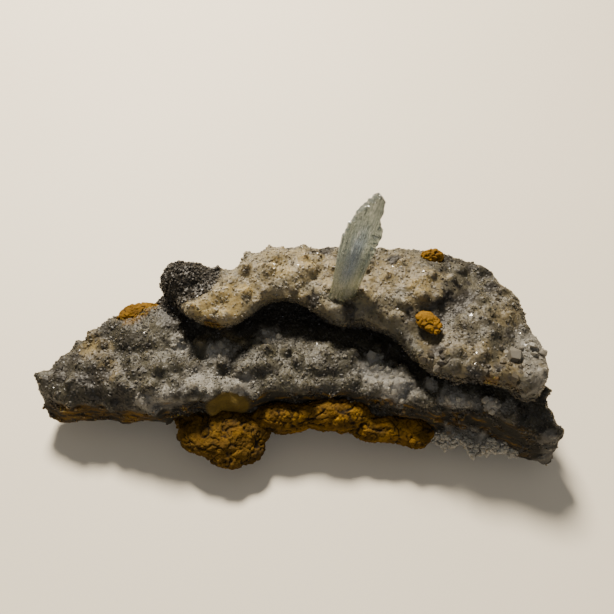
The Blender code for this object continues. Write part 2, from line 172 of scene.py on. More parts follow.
CREAM_SPOTS = [
    (-12.9, 3.7, 19.0, 6.4), (-7.7, 7.6, 20.0, 4.6), (1.1, 10.9, 20.8, 6.0), (-0.7, 13.5, 21.4, 5.0),
    (19.0, 10.4, 20.1, 4.4), (22.7, 8.0, 20.5, 4.2), (13.3, 7.2, 20.0, 3.0), (24.9, -3.4, 18.3, 3.6),
    (30.9, -6.8, 19.0, 3.8), (35.1, -8.4, 18.6, 3.0), (-35.9, 0.0, 11.5, 3.2), (-32.5, -4.8, 11.4, 2.0),
    (36.9, 1.8, 19.2, 2.2),
]
AMBER_SPOTS = [
    (-12.0, 4.8, 20.0, 2.8), (-15.6, 3.6, 19.8, 2.0), (-2.4, 11.6, 21.0, 2.0), (-8.4, 7.4, 20.2, 1.6),
    (2.6, 12.6, 21.0, 1.6), (22.0, 8.2, 20.4, 2.0), (-37.2, 0.6, 11.4, 2.2),
]
BLOCKY_SPOTS = [
    (14.4, -4.9, 13.1, 3.6), (17.5, -8.6, 12.6, 3.0), (-4.3, 2.3, 12.2, 1.6), (-20.4, -0.4, 12.6, 1.6),
    (23.0, -6.6, 18.4, 2.2), (31.8, -9.4, 18.0, 2.6), (36.0, -8.4, 18.8, 2.6), (39.6, -5.0, 19.2, 2.0),
    (-13.2, -1.6, 13.0, 2.2), (27.8, -11.0, 12.6, 1.8), (33.4, -11.8, 13.0, 1.6),
]
FRINGE_SPOTS = [
    (25.8, -15.2, 4.6, 1.9), (24.6, -15.4, 3.2, 1.9), (28.2, -15.6, 5.0, 1.4), (30.6, -15.9, 5.0, 1.4),
    (33.8, -15.9, 5.2, 1.6), (36.8, -16.6, 4.6, 1.5),
]
PALE_SPOTS = [
    (14.6, -6.5, 13.2, 2.6), (17.5, -8.4, 13.2, 2.8), (19.7, -9.4, 12.6, 1.8), (-4.4, 2.8, 12.4, 2.4),
    (-20.5, 0.0, 13.4, 1.8), (-12.3, -1.0, 12.9, 2.2), (-16.2, -7.0, 12.7, 3.2), (-9.5, -7.8, 12.4, 2.6),
    (-21.9, -10.7, 12.0, 2.6), (-25.3, -11.0, 10.8, 2.2), (40.5, -5.0, 18.6, 3.8), (39.7, -10.0, 18.0, 2.6),
    (30.6, -15.2, 6.4, 2.8), (26.7, -14.6, 5.4, 2.6), (34.5, -16.8, 5.2, 2.2), (44.9, -19.4, 6.4, 1.8),
    (23.5, -8.3, 13.5, 1.6), (26.8, -10.5, 12.4, 2.0), (29.9, -11.0, 13.0, 1.6), (33.7, -11.9, 13.2, 1.8),
    (36.5, -12.2, 12.4, 1.4), (42.8, -17.2, 10.2, 2.0), (44.3, -18.6, 7.0, 2.2), (43.4, -18.4, 4.2, 1.8),
    (27.1, -8.7, 13.0, 1.8), (31.1, -10.8, 12.0, 1.6),
]
RUST_SPOTS = [
    (-28.9, 7.6, 12.6, 3.4), (-20.9, 6.4, 14.6, 1.8), (35.5, -12.2, 18.2, 1.6), (32.4, -10.4, 17.8, 1.5),
    (37.7, 8.8, 18.0, 1.2), (-14.1, 2.2, 17.2, 1.8), (-10.2, -11.2, 9.2, 2.4), (24.9, -11.6, 8.6, 1.6),
]
# Two mounds of crust that hold the foot of the barite.
SEAT_SPOTS = [(6.7, 4.9, 19.6, 1.9), (9.2, 4.4, 19.4, 1.5)]


def points_mm(mesh):
    flat = np.empty(len(mesh.vertices) * 3)
    mesh.vertices.foreach_get("co", flat)
    return flat.reshape(-1, 3) / MM


def set_points_mm(mesh, points):
    mesh.vertices.foreach_set("co", (points * MM).ravel())
    mesh.update()


def normals_of(mesh):
    return np.array([v.normal for v in mesh.vertices])


def ripple(points, size, shift=0.0):
    """Smooth noise from -1 to 1 at each point, with hills about `size` mm across."""
    offset = Vector((shift, shift * 0.7, -shift))
    return np.array([noise.noise(Vector(p) / size + offset) for p in points])


def fade(low, high, value):
    """0 where the value is at `low` or short of it, 1 from `high` on, and smooth between."""
    t = np.clip((value - low) / (high - low), 0, 1)
    return t * t * (3 - 2 * t)


def patch(points, spots, ragged=0.35, size=1.6, level=1.0):
    """1 inside any of the spots (x, y, z, radius in mm) and 0 outside.

    The border strays by the share `ragged` of a radius, in bends about `size` mm long. A distance
    in height counts `level` times.
    """
    wobble = ragged * ripple(points, size, 3.0)
    most = np.zeros(len(points))
    for x, y, z, radius in spots:
        away = np.linalg.norm((points - (x, y, z)) * (1, 1, level), axis=1) / radius + wobble
        most = np.maximum(most, 1 - fade(0.75, 1.2, away))
    return most


def on_boss(points):
    """1 at the middle of the smooth limonite boss on the front face, and 0 from its rim outward."""
    x, y, z = points.T
    along = ((x - BOSS_X) / BOSS_HALF_LENGTH) ** 2
    return np.clip(1 - along - ((y - BOSS_Y) ** 2 + (z - BOSS_Z) ** 2) / BOSS_RADIUS ** 2, 0, 1)


def knots(points):
    """The rounded knots that the quartz grew in, about 2 mm across: 0 between them and up to 1 on top."""
    return np.clip(2.1 * np.abs(ripple(points, 2.8, 41.0)), 0, 1)


def sloped(points):
    """For each point, an upward arrow as long as the point lies to the right of the slope's start."""
    return np.outer(np.clip(points[:, 0] - SLOPE_STARTS, 0, None), (0, 0, 1))


def broken_face(points, normals):
    """1 on the broken front face under the lower ledge, where the layers of the rock show."""
    x, y, z = points.T
    top = 11.4 - 3.0 * fade(-22.0, -26.0, x) - 1.6 * fade(40.0, 44.0, x)
    upright = fade(-0.15, -0.4, normals[:, 1]) * fade(0.85, 0.7, normals[:, 2])
    return upright * fade(-7.5, -9.0, y) * fade(top + 0.4, top - 0.4, z)


def in_recess(points, normals):
    """True in the recess under the upper ledge, though not on faces that look backward."""
    x, y, z = points.T
    return (z < LOWER_LEDGE_TOP) & (y > 6.5) & (x > -19) & (normals[:, 1] < 0.25)


def sugary(points, normals):
    """1 where the rock is crusted with cloudy quartz: the upward faces, clear of the recess."""
    bare = np.maximum(broken_face(points, normals), fade(0.0, 0.1, on_boss(points)))
    upward = fade(-0.45, -0.1, normals[:, 2]) * fade(3.0, 5.0, points[:, 2])
    return upward * (1 - in_recess(points, normals)) * (1 - bare)


def stains(points, normals):
    """The share of each stain at each point.

    Film is a thin grey-brown clay, cream and amber are iron in the quartz, the soot share is black
    manganese together with painted shade in the recess, on the shelf before it and on faces that
    turn downward, pale is clean milky quartz, rust is limonite in the layers, and boss is the smooth
    boss of it.
    """
    x, y, z = points.T
    drift = ripple(points, 4.5, 21.0)
    clots = ripple(points, 2.1, 31.0)
    upper = fade(15.0, 17.0, z) * (x > -24)
    face = broken_face(points, normals)
    hump = on_boss(points)
    boss = fade(0.0, 0.15, hump)
    turned_front = fade(0.7, 0.2, normals[:, 1])

    cream = 0.75 * patch(points, CREAM_SPOTS, ragged=0.8, size=2.6)
    cream = np.maximum(cream, upper * np.clip(0.30 + 0.5 * drift - 0.25 * fade(14, 30, x), 0, 1))
    amber = 0.5 * patch(points, AMBER_SPOTS, ragged=0.8, size=1.8)
    pale = 0.5 * patch(points, PALE_SPOTS, ragged=0.7, size=1.3)
    pale = np.maximum(pale, patch(points, FRINGE_SPOTS))
    pale = np.maximum(pale, 0.85 * patch(points, BLOCKY_SPOTS, ragged=0.4) * (z < LOWER_LEDGE_TOP))
    film = (0.95 * (1 - upper) + 0.6 * upper * fade(12, 24, x)) * (1 - 0.8 * pale)
    film = film * np.clip(0.9 + 0.3 * drift, 0, 1)

    # Rust follows the layers of the front face, and a seam near the left end.
    lines = ripple(points * (0.25, 0.25, 1.0) + 0.11 * sloped(points), 0.62, 51.0)
    seam = fade(-24.0, -26.0, x) * fade(-8.0, -9.4, y) * fade(9.2, 8.2, z) * fade(-0.7, -0.1, lines)
    rusty_face = face * fade(0.0, 0.3, lines + 0.3 * drift) * fade(42.0, 38.0, x)
    rust = np.maximum.reduce([patch(points, RUST_SPOTS), seam, 0.9 * rusty_face])

    # Soot lies in spots, on the knob, on the front face between the rust, and in washes and flecks all
    # over. Painted shade joins it: in the recess under the upper ledge and on the shelf before it, which
    # lie in the upper ledge's shadow and also carry a dark manganese crust, and on faces that turn
    # downward.
    spotted = 0.95 * patch(points, BLACK_SPOTS, ragged=0.3, size=0.9, level=0.4)
    spotted = spotted * np.clip(0.95 + 0.4 * clots, 0, 1)
    knob = 0.94 * fade(6.8, 5.8, np.hypot(x - KNOB_X, y - KNOB_Y)) * (z > KNOB_FOOT)
    # Painted shade over a dark manganese crust in the recess under the upper ledge, on faces that look
    # neither up nor back.
    recess = fade(11.0, 13.0, z) * fade(17.6, 15.2, z) * (x > -22) * (1 - 0.4 * fade(18, 24, x))
    recess = recess * fade(0.3, -0.1, normals[:, 2]) * turned_front
    # Painted shadow of the upper ledge's front edge, over a dark crust, on the shelf of the lower ledge just
    # before it.
    shelf = fade(14.4, 13.4, z) * fade(2.6, 5.6, y + 0.12 * np.abs(x - 2)) * (x > -17) * (x < 34)
    shelf = shelf * turned_front
    # Painted shade: faces that turn downward are darkened.
    under = 0.5 * fade(-0.25, -0.5, normals[:, 2])
    left_end = fade(-27.0, -33.0, x) * (1 - upper)
    wash = (1 - upper) * (0.34 + 0.36 * clots + 0.22 * drift) + 0.26 * left_end
    wash = wash + upper * (
        0.08 + 0.32 * clots + 0.30 * fade(14, 24, x) + 0.16 * fade(4, -2, y) * (x > 10)
    )
    soot = np.maximum.reduce([
        spotted, knob, recess, 0.85 * shelf, 0.8 * face * (1 - rust), under, np.clip(wash, 0, 0.9),
    ])
    grime = ripple(points, 1.6, 11.0) + 0.25 * ripple(points, 0.6, 12.0)
    flecks = 0.8 * fade(0.32, 0.52, grime) * (1 - 0.8 * np.clip(1.5 * cream, 0, 1) * upper)
    between_knots = fade(0.14, 0.0, knots(points)) * (0.14 + 0.3 * (1 - upper))
    soot = np.maximum(np.maximum(soot, flecks), between_knots) * (1 - 0.75 * pale)
    # A darker ring runs round the rim of the boss, where it meets the face.
    rim = fade(0.0, 0.08, hump) * fade(0.34, 0.12, hump)
    return {
        "film": film * (1 - boss),
        "cream": cream * (1 - boss),
        "amber": amber,
        "soot": np.maximum(soot * (1 - boss), 0.65 * rim),
        "pale": pale,
        "rust": rust * (1 - boss),
        "boss": boss,
    }


def store(mesh, values):
    """Keeps a number for each point of the mesh under each name, for its material to read."""
    for name, numbers in values.items():
        layer = mesh.attributes.new(name, "FLOAT", "POINT")
        layer.data.foreach_set("value", np.asarray(numbers, dtype=np.float32))


def evened_out(obj, square_mm):
    """The object's mesh, made again as one closed skin of small squares."""
    modifier = obj.modifiers.new("even_out", "REMESH")
    modifier.mode = "VOXEL"
    modifier.voxel_size = square_mm * MM
    bpy.context.view_layer.update()
    graph = bpy.context.evaluated_depsgraph_get()
    return bpy.data.meshes.new_from_object(obj.evaluated_get(graph))


def remeshed_copy(source, name, square_mm):
    """A copy of a CAD piece as an even mesh of small squares, for detail to be pressed into."""
    obj = link_object(name, bpy.data.objects[source].data.copy())
    obj.data.materials.clear()
    mesh = evened_out(obj, square_mm)
    obj.modifiers.clear()
    obj.data = mesh
    mesh.name = name
    return obj


def push(mesh, amounts_mm):
    """Moves each point along its normal."""
    set_points_mm(mesh, points_mm(mesh) + normals_of(mesh) * np.asarray(amounts_mm)[:, None])


def worn(mesh, rounds):
    """Rounds the mesh without shrinking it.

    In each round every point moves 0.6 of the way to the middle of its neighbours, and then moves
    back out by 0.35 of what is left.
    """
    edges = np.empty(len(mesh.edges) * 2, dtype=np.int64)
    mesh.edges.foreach_get("vertices", edges)
    one, two = edges.reshape(-1, 2).T
    spots = points_mm(mesh)
    count = np.bincount(edges, minlength=len(spots))[:, None]
    for share in (0.6, -0.35) * rounds:
        sums = [
            np.bincount(one, spots[two, k], len(spots)) + np.bincount(two, spots[one, k], len(spots))
            for k in range(3)
        ]
        middle = np.stack(sums, axis=1) / count
        spots = spots + share * (middle - spots)
    set_points_mm(mesh, spots)


rock = remeshed_copy("matrix", "rock_plate", square_mm=0.36)
cad_height = points_mm(rock.data)[:, 2]
worn(rock.data, rounds=24)
spots = points_mm(rock.data)
# The flat foot keeps its height, and nothing sinks below the table.
spots[:, 2] = np.where(cad_height < 0.4, cad_height, np.maximum(spots[:, 2], 0.0))
set_points_mm(rock.data, spots)
facing = normals_of(rock.data)
sugar = sugary(spots, facing)
chips = 0.20 * ripple(spots, 1.5, 1.0) + 0.13 * ripple(spots, 0.75, 2.0)
blobs = (0.22 * knots(spots) + 0.12 + 0.08 * ripple(spots, 0.9, 43.0)) * sugar
blobs = blobs + 0.8 * patch(spots, SEAT_SPOTS, ragged=0.2)
chips = chips * (1 - sugar)
flattened = (spots + 0.16 * sloped(spots)) / (5.0, 5.0, 0.8)
layers = 0.5 * ripple(flattened, 1.0, 4.0) * broken_face(spots, facing)
bulge = 0.35 * np.sqrt(on_boss(spots))
above_table = fade(0.05, 0.8, spots[:, 2])
rough = (chips + blobs + layers - 0.12) * (1 - 0.8 * fade(0, 0.12, bulge))
push(rock.data, (rough + bulge) * above_table)
store(rock.data, {**stains(spots, facing), "sugar": sugar})


def stained(tree, base, colours):
    """Lays each stain over the base by its stored share. Its colour is hex or a node's output."""
    for name, colour in colours.items():
        share = node(tree, "ShaderNodeAttribute", {"attribute_name": name}).outputs["Fac"]
        fixed = {7: linear(colour)} if isinstance(colour, str) else {}
        linked = {} if fixed else {"in7": colour}
        mix = node(tree, "ShaderNodeMix", {"data_type": "RGBA", **fixed}, in0=share, in6=base, **linked)
        base = mix.outputs[2]
    return base


# Vein rock, broken and then weathered: dull and grainy where it is bare, and where quartz crusts it a
# little glossier and milky, because light sinks about 2 mm in. The stains are films too thin to raise
# it, so they are only colour. Its grain of 0.2 mm and less is drawn about 1 mm wide, or it wouldn't
# show, and the rust lies in sheets about 2.4 mm long and 0.5 mm thick.
broken_rock, tree, shader = new_material("weathered vein rock")
place = node(tree, "ShaderNodeTexCoord").outputs["Object"]
sugar = node(tree, "ShaderNodeAttribute", {"attribute_name": "sugar"}).outputs["Fac"]
grain = node(tree, "ShaderNodeTexNoise", {"Scale": 0.9 / MM, "Detail": 4.0, "Roughness": 0.7}, Vector=place)
bare = node(
    tree, "ShaderNodeValToRGB", {"stops": ((0.32, "#3A342A"), (0.68, "#7C745F"))}, in0=grain.outputs["Fac"],
)
cloudy = node(
    tree, "ShaderNodeValToRGB", {"stops": ((0.30, "#5B5645"), (0.70, "#7D7765"))}, in0=grain.outputs["Fac"],
)
crust = node(
    tree, "ShaderNodeMix", {"data_type": "RGBA"},
    in0=sugar, in6=bare.outputs["Color"], in7=cloudy.outputs["Color"],
)
flat = node(tree, "ShaderNodeMapping", {"Scale": (1.0, 1.0, 5.0)}, Vector=place).outputs["Vector"]
sheets = node(tree, "ShaderNodeTexNoise", {"Scale": 0.42 / MM, "Detail": 6.0, "Roughness": 0.7}, Vector=flat)
rust_tone = node(
    tree, "ShaderNodeValToRGB", {"stops": ((0.44, "#1C150A"), (0.60, "#8A660F"))}, in0=sheets.outputs["Fac"],
)
smear = node(tree, "ShaderNodeTexNoise", {"Scale": 0.3 / MM, "Detail": 5.0, "Roughness": 0.65}, Vector=flat)
boss_tone = node(
    tree, "ShaderNodeMix", {"data_type": "RGBA", 6: linear("#3A2E0E"), 7: linear("#7A6424")},
    in0=smear.outputs["Fac"],
)
# The soot colour also paints shade in the recess, on the shelf before it and on faces that turn downward.
mixed = stained(tree, crust.outputs[2], {
    "film": "#403D2F", "cream": "#867856", "amber": "#9E884F", "pale": "#96928A",
    "rust": rust_tone.outputs["Color"], "boss": boss_tone.outputs[2], "soot": "#1D1A15",
})
tree.links.new(mixed, shader.inputs["Base Color"])
gloss = node(tree, "ShaderNodeMapRange", {"To Min": 0.75, "To Max": 0.5}, Value=sugar)
tree.links.new(gloss.outputs["Result"], shader.inputs["Roughness"])
shader.inputs["Specular IOR Level"].default_value = 0.25
# Light enters only the clean quartz: the soot share, which also holds painted shade, stops it.
soot = node(tree, "ShaderNodeAttribute", {"attribute_name": "soot"}).outputs["Fac"]
unstained = node(tree, "ShaderNodeMapRange", {"To Min": 0.9, "To Max": 0.0}, Value=soot)
milky = node(tree, "ShaderNodeMath", {"operation": "MULTIPLY"}, in0=sugar, in1=unstained.outputs["Result"])
tree.links.new(milky.outputs[0], shader.inputs["Subsurface Weight"])
shader.inputs["Subsurface Radius"].default_value = (1.0, 0.9, 0.75)
shader.inputs["Subsurface Scale"].default_value = 2.2 * MM
# Crystals too small to build, about 0.5 mm across, show as dimples in the crust.
cells = node(
    tree, "ShaderNodeTexVoronoi", {"feature": "F1", "Scale": 1.9 / MM, "Randomness": 1.0}, Vector=place,
)
dimples = node(tree, "ShaderNodeMath", {"operation": "MULTIPLY", 1: 0.16}, in0=cells.outputs["Distance"])
facets = node(
    tree, "ShaderNodeMix", {"data_type": "FLOAT"},
    in0=sugar, in2=sheets.outputs["Fac"], in3=dimples.outputs[0],
)
bump = node(tree, "ShaderNodeBump", {"Strength": 0.7, "Distance": 0.8 * MM}, Height=facets.outputs[0])
tree.links.new(bump.outputs["Normal"], shader.inputs["Normal"])
rock.data.materials.append(broken_rock)
rock.data.polygons.foreach_set("use_smooth", [True] * len(rock.data.polygons))
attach(rock, "root")
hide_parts("matrix")

# The druse: thousands of six-sided quartz points that grew outward from the rock and into each other.
# Most are 0.5 to 0.8 mm across and stand barely proud of the crust, the larger ones 0.8 to 1.4 mm.
# They are clear to milky, and stained cream, rust and black by where they stand.
SIX = range(6)


def of_faces(mesh, measure, width):
    """One of Blender's own measures of each face, as rows of `width` numbers."""
    values = np.empty(len(mesh.polygons) * width)
    mesh.polygons.foreach_get(measure, values)
    return values.reshape(-1, width)


host_centres = of_faces(rock.data, "center", 3) / MM
host_normals = of_faces(rock.data, "normal", 3)
host_areas = of_faces(rock.data, "area", 1).ravel()


def footholds(draw, wanted, spacing, chance):
    """Indices of rock faces to grow on: drawn by chance, and at least the spacing (mm) apart."""
    weight = host_areas * chance
    tries = min(wanted * 5, int((weight > 0).sum()))
    drawn = draw.choice(len(host_areas), size=tries, replace=False, p=weight / weight.sum())
    cell_mm = 1.2
    taken, cells = [], {}
    for index in drawn:
        foot = host_centres[index]
        gap = spacing[index]
        cell = tuple((foot // cell_mm).astype(int))
        crowd = [
            other
            for dx in (-1, 0, 1) for dy in (-1, 0, 1) for dz in (-1, 0, 1)
            for other in cells.get((cell[0] + dx, cell[1] + dy, cell[2] + dz), ())
        ]
        if all(np.dot(foot - other, foot - other) > gap * gap for other in crowd):
            taken.append(index)
            cells.setdefault(cell, []).append(foot)
            if len(taken) == wanted:
                break
    return np.array(taken)


def crystal_cluster(
    name, seed, wanted, chance, half_width, spacing,
    tilt=0.42, stubby=0.26, shafts=True, rise=1.0, clean=0.0,
):
    """One mesh of separate closed crystals, each sunk in the rock, with their shares of stain.

    half_width is in mm, and spacing counts half widths. tilt is how far they lean, stubby how long
    their shafts are, rise how far they stand out of the crust, and clean how free of stain they are.
    Without shafts a crystal is a point above the crust and a point below it.
    """
    draw = np.random.default_rng(seed)
    width_at = np.broadcast_to(half_width, host_areas.shape)
    feet = footholds(draw, wanted, spacing * width_at, chance)
    n = len(feet)
    width = width_at[feet] * np.exp(draw.normal(0, 0.24, n))
    shaft = width * (draw.uniform(0.1, 2 * stubby, n) * rise - 0.5 * (1 - rise))
    point = width * draw.uniform(0.5, 1.5, n) * rise

    # The corners of each crystal, from its buried end to its tip, with its axis along z.
    ring = np.array([(math.cos(math.pi / 3 * k), math.sin(math.pi / 3 * k)) for k in SIX])
    uneven = draw.uniform(0.72, 1.12, (n, 6, 1))
    size = 13 if shafts else 8
    collar = size - 7
    shape = np.zeros((n, size, 3))
    shape[:, collar:-1, :2] = ring * uneven * width[:, None, None]
    shape[:, collar:-1, 2] = shaft[:, None] + draw.uniform(-0.22, 0.22, (n, 6)) * width[:, None]
    shape[:, -1, :2] = draw.uniform(-0.28, 0.28, (n, 2)) * width[:, None]
    shape[:, -1, 2] = shaft + point
    if shafts:
        shape[:, :6, :2] = ring * uneven * width[:, None, None] * 0.95
        shape[:, :6, 2] = -0.9 * width[:, None]
    else:
        shape[:, 0, 2] = -0.9 * width

    # Each leans from the face it grew on, and is turned by chance about its own axis.
    axis = host_normals[feet] + draw.normal(0, tilt, (n, 3))
    axis /= np.linalg.norm(axis, axis=1, keepdims=True)
    side = np.cross(axis, draw.normal(0, 1, (n, 3)))
    side /= np.linalg.norm(side, axis=1, keepdims=True)
    other = np.cross(axis, side)
    turned = (
        shape[:, :, :1] * side[:, None] + shape[:, :, 1:2] * other[:, None] + shape[:, :, 2:] * axis[:, None]
    )
    place = host_centres[feet] + draw.uniform(-0.12, 0.12, (n, 3))
    points = (turned + place[:, None]).reshape(-1, 3)
    tips = [(collar + k, collar + (k + 1) % 6, size - 1) for k in SIX]
    if shafts:
        sides = [(k, (k + 1) % 6, 6 + (k + 1) % 6, 6 + k) for k in SIX]
        template = [tuple(reversed(SIX)), *sides, *tips]
    else:
        template = [*[(1 + (k + 1) % 6, 1 + k, 0) for k in SIX], *tips]
    faces = [tuple(corner + size * i for corner in face) for i in range(n) for face in template]
    mesh = bpy.data.meshes.new(name)
    mesh.from_pydata((points * MM).tolist(), [], faces)

    shares = stains(host_centres[feet], host_normals[feet])
    shares = {key: share * (1 - clean) for key, share in shares.items()}
    shares["pale"] = np.maximum(shares["pale"], clean)
    shares["tone"] = draw.uniform(0, 1, n)
    store(mesh, {key: np.repeat(value, size) for key, value in shares.items()})
    mesh.materials.append(quartz)
    obj = link_object(name, mesh)
    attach(obj, "root")


# Drusy quartz, grown and never cut: glassy faces over a cloudy body, so single crystals flash while
# the crust as a whole stays soft, with light spreading about 1.6 mm inside it. Each crystal has a
# tone of its own, and only the palest of them are bright and sharp. Dirt mottles them in flecks of
# about 0.7 mm, which are finer on the real one and drawn this coarse to show.
quartz, tree, shader = new_material("drusy quartz")
place = node(tree, "ShaderNodeTexCoord").outputs["Object"]
tone = node(tree, "ShaderNodeAttribute", {"attribute_name": "tone"}).outputs["Fac"]
body = node(tree, "ShaderNodeValToRGB", {"stops": ((0.0, "#4C493D"), (1.0, "#6C685A"))}, in0=tone)
mottle = node(tree, "ShaderNodeTexNoise", {"Scale": 1.5 / MM, "Detail": 2.0}, Vector=place)
dirt = node(
    tree, "ShaderNodeMix", {"data_type": "RGBA", "blend_type": "MULTIPLY", 7: linear("#C4BBA6")},
    in0=mottle.outputs["Fac"], in6=body.outputs["Color"],
)
cream_tone = node(
    tree, "ShaderNodeMix", {"data_type": "RGBA", 6: linear("#665A40"), 7: linear("#72664C")}, in0=tone,
)
# The soot colour also paints shade on crystals in the recess, on the shelf before it and on faces that turn
# downward.
mixed = stained(tree, dirt.outputs[2], {
    "film": "#38352C", "cream": cream_tone.outputs[2], "amber": "#83703D", "pale": "#9A968B",
    "rust": "#6A4C0E", "soot": "#211D17",
})
tree.links.new(mixed, shader.inputs["Base Color"])
shader.inputs["IOR"].default_value = 1.544
gloss = node(
    tree, "ShaderNodeMapRange", {"From Min": 0.84, "From Max": 0.92, "To Min": 0.55, "To Max": 0.16},
    Value=tone,
)
tree.links.new(gloss.outputs["Result"], shader.inputs["Roughness"])
shader.inputs["Transmission Weight"].default_value = 0.15
shader.inputs["Specular IOR Level"].default_value = 0.35
soot = node(tree, "ShaderNodeAttribute", {"attribute_name": "soot"}).outputs["Fac"]
unstained = node(tree, "ShaderNodeMapRange", {"To Min": 0.85, "To Max": 0.0}, Value=soot)
tree.links.new(unstained.outputs["Result"], shader.inputs["Subsurface Weight"])
shader.inputs["Subsurface Radius"].default_value = (1.0, 0.9, 0.75)
shader.inputs["Subsurface Scale"].default_value = 1.6 * MM

# Where druse grew, for each face of the rock.
x, y, z = host_centres.T
from_barite = np.hypot((x - 8.7) / 2.3, (y - 6.4) / 1.25)  # 1 at the edge of the barite's foot
on_upper = ((z > LOWER_LEDGE_TOP) & (x > -18.5)) | ((z > 15.2) & (x > -24) & (y < 9))
on_knob = (np.hypot(x - KNOB_X, y - KNOB_Y) < 6.2) & (z > KNOB_FOOT)
on_lower = (z <= LOWER_LEDGE_TOP) & (z > 5.0 - 3.0 * fade(34, 38, x)) & ~on_knob
deep = in_recess(host_centres, host_normals) & (z > 9.5) & (x < 38)
smooth_boss = on_boss(host_centres) > 0
bare_face = (broken_face(host_centres, host_normals) > 0.5) | smooth_boss
rusty = stains(host_centres, host_normals)["rust"] * (host_normals[:, 2] < 0.5)
open_rock = ~bare_face & (rusty < 0.3)
not_under = fade(-0.35, -0.1, host_normals[:, 2])
fine = 0.31 + 0.07 * ripple(host_centres, 5.0, 8.0)
crystal_cluster(
    "druse_upper_ledge", seed=11, wanted=7600,
    chance=not_under * on_upper * ~on_knob * (from_barite > 1),
    half_width=fine, spacing=1.45, tilt=0.26, shafts=False, rise=0.36,
)
crystal_cluster(
    "druse_lower_ledge", seed=12, wanted=8200, chance=not_under * on_lower * ~deep * open_rock,
    half_width=fine, spacing=1.45, tilt=0.28, shafts=False, rise=0.42,
)

# Small crystals crowd against the foot of the barite.
round_foot = (from_barite > 0.9) * (from_barite < 1.7) * (z > 17)
crystal_cluster(
    "druse_round_barite", seed=18, wanted=60, chance=round_foot * not_under,
    half_width=0.36, spacing=1.1, tilt=0.5, stubby=0.3,
)

# Larger quartz crystals with their six-sided shafts stand among the fine druse. The boldest of them
# crowd in the pale blocky spots of both ledges.
on_ledges = (on_upper | on_lower) * ~deep * ~on_knob * open_rock
crystal_cluster(
    "middling_quartz", seed=17, wanted=1800, chance=not_under * on_ledges * (from_barite > 1.2),
    half_width=0.42, spacing=1.6, tilt=0.3, stubby=0.2, rise=0.38,
)
blocky = patch(host_centres, BLOCKY_SPOTS, ragged=0.3) * (host_normals[:, 2] > 0.3)
crystal_cluster(
    "bold_quartz_points", seed=13, wanted=80, chance=blocky,
    half_width=0.58, spacing=2.2, tilt=0.5, stubby=0.5, rise=0.7,
)

# Fine dark druse: quartz under a film of manganese oxide, on the knob at the back left, along the lip
# over the recess, and in the mouth of the recess. Along the lip and in the recess their dark colour is
# partly painted shade.
lip = (z > 13.4) & (z < 17.6) & (host_normals[:, 2] < 0.1) & (x > -19)
dark = np.maximum.reduce([1.0 * on_knob, 1.0 * lip, 1.0 * deep * (y < 10)])
crystal_cluster(
    "dark_druse", seed=14, wanted=7000, chance=dark,
    half_width=0.30, spacing=1.05, tilt=0.8, shafts=False, rise=0.8,
)

# The broken front face under the lower ledge carries only a thin, patchy crust of small dark crystals.
patchy = fade(0.0, 0.4, ripple(host_centres, 2.4, 15.0)) * bare_face * ~smooth_boss
patchy = patchy * (z > 5.0) * (rusty < 0.4)
crystal_cluster(
    "front_face_druse", seed=16, wanted=900, chance=patchy,
    half_width=0.27, spacing=1.3, tilt=0.6, shafts=False, rise=0.6,
)

# A fringe of clean white druse hangs under the front edge, right of the ochre crust.
crystal_cluster(
    "white_fringe", seed=15, wanted=1300, chance=patch(host_centres, FRINGE_SPOTS, ragged=0.3),
    half_width=0.33, spacing=1.1, tilt=0.5, stubby=0.5, clean=0.9,
)

# The ochre crust under the front edge, and the grains of the same stuff on top: limonite, an earthy
# iron oxide that dried in thin layers and cracked as it shrank. It clings to the rock by itself.


def limonite_piece(source, name, square_mm, swell, layering, flatten=1.0, back=0.0, dry=0.5):
    """A CAD piece of limonite with lumps, cracks and thin layers pressed into it.

    It swells by `swell` mm to fill its seat, its layers stand `layering` mm proud, it is lowered to
    the share `flatten` of its height and moved `back` mm, and `dry` is how yellow and dusty it is.
    """
    obj = remeshed_copy(source, name, square_mm)
    spots, facing = points_mm(obj.data), normals_of(obj.data)
    x, z = spots[:, 0], spots[:, 2]
    lumps = 0.22 * ripple(spots, 1.7, 5.0) + 0.17 * ripple(spots, 0.7, 6.0) + 0.12 * ripple(spots, 0.35, 7.0)
    cracks = np.minimum(np.abs(ripple(spots, 2.3, 13.0)), np.abs(ripple(spots, 1.2, 14.0)) * 1.4)
    lumps = lumps - 0.26 * fade(0.12, 0.0, cracks)
    wave = np.sin(6.5 * z + 0.15 * x + 2.6 * ripple(spots, 3.2, 9.0))
    sheets = layering * np.sign(wave) * np.abs(wave) ** 0.5 * fade(0.8, 0.3, np.abs(facing[:, 2]))
    push(obj.data, lumps + sheets + swell)
    low = min(v.co.z for v in obj.data.vertices)
    to_seat = Matrix.Translation((0, back * MM, low))
    obj.data.transform(to_seat @ Matrix.Diagonal((1, 1, flatten, 1)) @ Matrix.Translation((0, 0, -low)))
    # Painted shade: the cracks and low places are painted dark, and the lump at the left, which faces the
    # front in shade, is painted darker all over than the band to its right. The crust is also less yellow,
    # so darker, towards its bottom.
    left_lump_shade = 0.36 * fade(0.0, -4.0, x) * (dry < 0.1)
    store(obj.data, {
        "hollow": np.maximum(fade(-0.08, -0.34, lumps + sheets), left_lump_shade),
        "dry": np.clip(dry + 0.3 * ripple(spots, 2.4, 19.0) - 0.45 * fade(7.0, 2.0, z), 0, 1),
    })
    obj.data.polygons.foreach_set("use_smooth", [True] * len(obj.data.polygons))
    obj.data.materials.append(limonite)
    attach(obj, "root")
    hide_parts(source)


